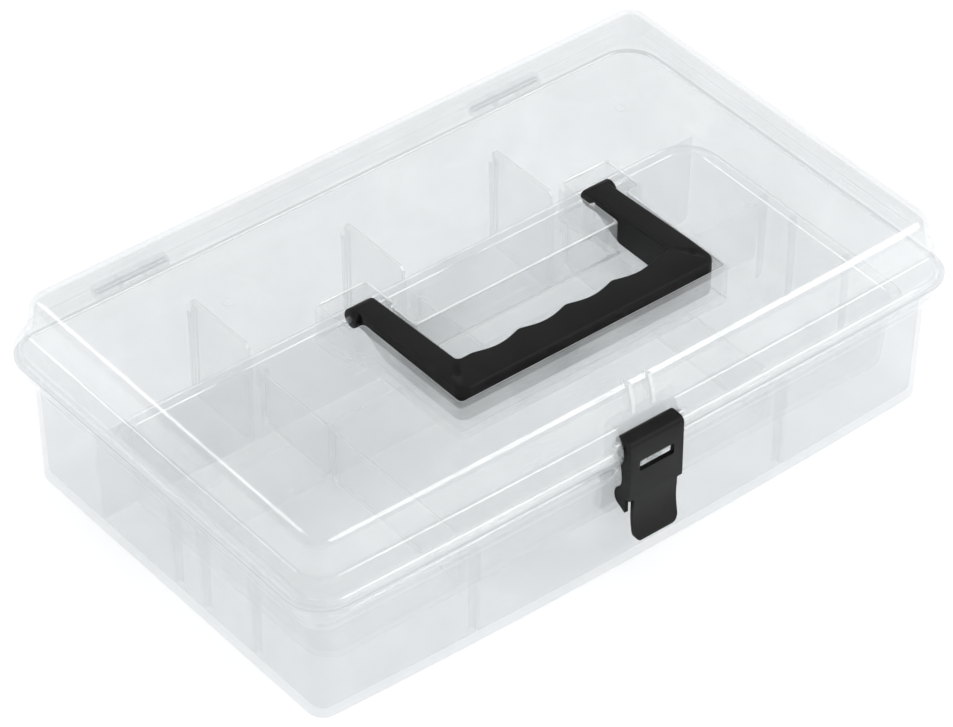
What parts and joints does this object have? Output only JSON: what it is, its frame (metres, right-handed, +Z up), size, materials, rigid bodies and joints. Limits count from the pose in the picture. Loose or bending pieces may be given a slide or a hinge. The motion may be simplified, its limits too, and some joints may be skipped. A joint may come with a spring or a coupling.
{
  "type": "toolbox with lift-out tray",
  "caption": "Clear plastic toolbox with a domed hinged lid, a folding black handle, a black front latch, a lift-out divided tray and a deep divided rear row.",
  "frame": {"origin": "centre of the tub's flat underside, on the surface it stands on", "axes": "+X along the front from left to right, +Y from the latch towards the rear hinges, +Z up"},
  "size_m": [0.3234, 0.2133, 0.0976],
  "materials": {
    "clear_plastic": "clear moulded polypropylene, lightly satin",
    "black_plastic": "satin moulded",
    "steel_pin": "drawn wire"
  },
  "bodies": {
    "base": {"base_tub": "clear_plastic", "hinge_pin_left": "steel_pin", "hinge_pin_right": "steel_pin", "rear_divider_left": "clear_plastic", "rear_divider_centre": "clear_plastic", "rear_divider_right": "clear_plastic"},
    "lid": {"lid_shell": "clear_plastic", "latch_pin": "steel_pin"},
    "handle": {"carry_handle": "black_plastic"},
    "latch": {"latch_hasp": "black_plastic"},
    "tray": {"lift_out_tray": "clear_plastic", "tray_divider_back_left": "clear_plastic", "tray_divider_back_centre": "clear_plastic", "tray_divider_back_right": "clear_plastic", "tray_divider_front_left": "clear_plastic", "tray_divider_front_right": "clear_plastic"}
  },
  "joints": [
    {"name": "lid_hinge", "type": "hinge", "parent": "base", "child": "lid", "pos_m": [0, 0.1042, 0.0625], "axis": [-1, 0, 0], "range_deg": [0, 105]},
    {"name": "handle_fold", "type": "hinge", "parent": "lid", "child": "handle", "pos_m": [0, 0.001, 0.0913], "axis": [-1, 0, 0], "range_deg": [0, 95]},
    {"name": "latch_swing", "type": "hinge", "parent": "lid", "child": "latch", "pos_m": [0, -0.0983, 0.0675], "axis": [-1, 0, 0], "range_deg": [0, 90]},
    {"name": "tray_lift", "type": "slide", "parent": "base", "child": "tray", "axis": [0, 0, 1], "range_m": [0, 0.028]}
  ]
}
